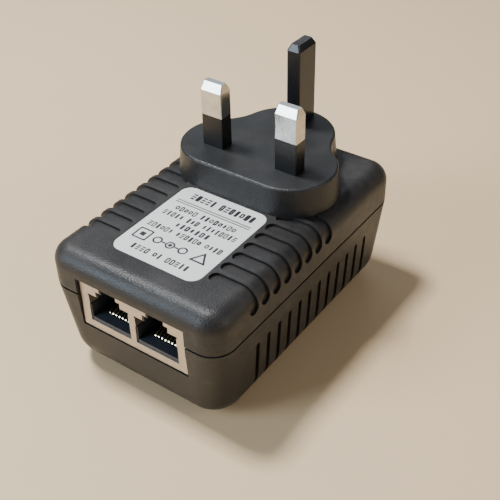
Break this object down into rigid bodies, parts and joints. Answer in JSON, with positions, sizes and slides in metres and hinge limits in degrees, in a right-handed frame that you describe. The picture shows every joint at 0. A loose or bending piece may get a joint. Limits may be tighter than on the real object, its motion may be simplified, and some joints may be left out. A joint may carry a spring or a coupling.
{
  "type": "poe injector",
  "caption": "Plug-top power-over-Ethernet injector: black two-part case with shielded network sockets at one end and a mains plug on its face.",
  "frame": {"origin": "middle of the flat back that the injector lies on", "axes": "+Z along the plug pins, +Y from the sockets to the far end, +X to the right when facing the sockets"},
  "size_m": [0.052, 0.079, 0.0658],
  "materials": {
    "case_black": "fine-grained satin black moulding",
    "plug_black": "satin black moulding",
    "earth_pin_black": "glossy black plastic",
    "sleeve_black": "smooth black insulation",
    "pin_nickel": "nickel-plated brass, lightly brushed",
    "label_silver": "matt silver-white label",
    "shield_nickel": "matt nickel-plated sheet",
    "jack_black": "dark moulding",
    "contact_gold": "gold-plated spring wire",
    "board_green": "glass-fibre laminate with green resist",
    "ferrite": "dark ferrite",
    "bobbin_black": "black moulding",
    "winding_tape": "yellow polyester tape over copper",
    "copper_wire": "enamelled copper",
    "aluminium_sink": "bare aluminium",
    "component_black": "black epoxy moulding",
    "can_aluminium": "bright aluminium can",
    "sleeve_blue": "dark blue shrink sleeve",
    "disc_blue": "dipped epoxy",
    "box_yellow": "yellow moulded box",
    "fuse_ceramic": "white ceramic tube",
    "steel_plated": "zinc-plated steel",
    "solder": "bright solder",
    "brown_wire": "brown insulation",
    "blue_wire": "blue insulation",
    "sheet_insulation": "insulating board"
  },
  "bodies": {
    "case": {"lower_cover": "case_black", "upper_cover": "case_black", "plug_base": "plug_black", "live_pin": "pin_nickel", "neutral_pin": "pin_nickel", "live_pin_sleeve": "sleeve_black", "neutral_pin_sleeve": "sleeve_black", "earth_pin": "earth_pin_black", "live_lead": "brown_wire", "neutral_lead": "blue_wire", "rating_label": "label_silver", "jack_shield": "shield_nickel", "jack_housing": "jack_black", "left_contact_legs": "contact_gold", "right_contact_legs": "contact_gold", "output_capacitors": "can_aluminium", "output_inductor_core": "ferrite", "output_inductor_winding": "copper_wire", "output_diode": "component_black", "transformer_core": "ferrite", "transformer_bobbin": "bobbin_black", "transformer_winding": "winding_tape", "heat_sink": "aluminium_sink", "switching_transistor": "component_black", "transistor_screw": "steel_plated", "y_capacitor": "disc_blue", "bulk_capacitor": "can_aluminium", "bulk_capacitor_sleeve": "sleeve_blue", "bridge_rectifier": "component_black", "optocoupler": "component_black", "line_fuse": "fuse_ceramic", "fuse_caps": "steel_plated", "x_capacitor": "box_yellow", "mains_choke_core": "ferrite", "mains_choke_windings": "copper_wire", "varistor": "disc_blue", "controller_chip": "component_black", "chip_resistors": "component_black", "barrier_sheet": "sheet_insulation", "main_board": "board_green", "solder_joints": "solder"},
    "left_contacts": {"left_port_contacts": "contact_gold"},
    "right_contacts": {"right_port_contacts": "contact_gold"}
  },
  "joints": [
    {"name": "left_contacts_flex", "type": "hinge", "parent": "case", "child": "left_contacts", "pos_m": [-0.0072, -0.0346, 0.01817], "axis": [-1, 0, 0], "range_deg": [0, 8], "stiffness_Nm_per_rad": 0.02, "springref_deg": -2.86},
    {"name": "right_contacts_flex", "type": "hinge", "parent": "case", "child": "right_contacts", "pos_m": [0.0072, -0.0346, 0.01817], "axis": [-1, 0, 0], "range_deg": [0, 8], "stiffness_Nm_per_rad": 0.02, "springref_deg": -2.86}
  ]
}
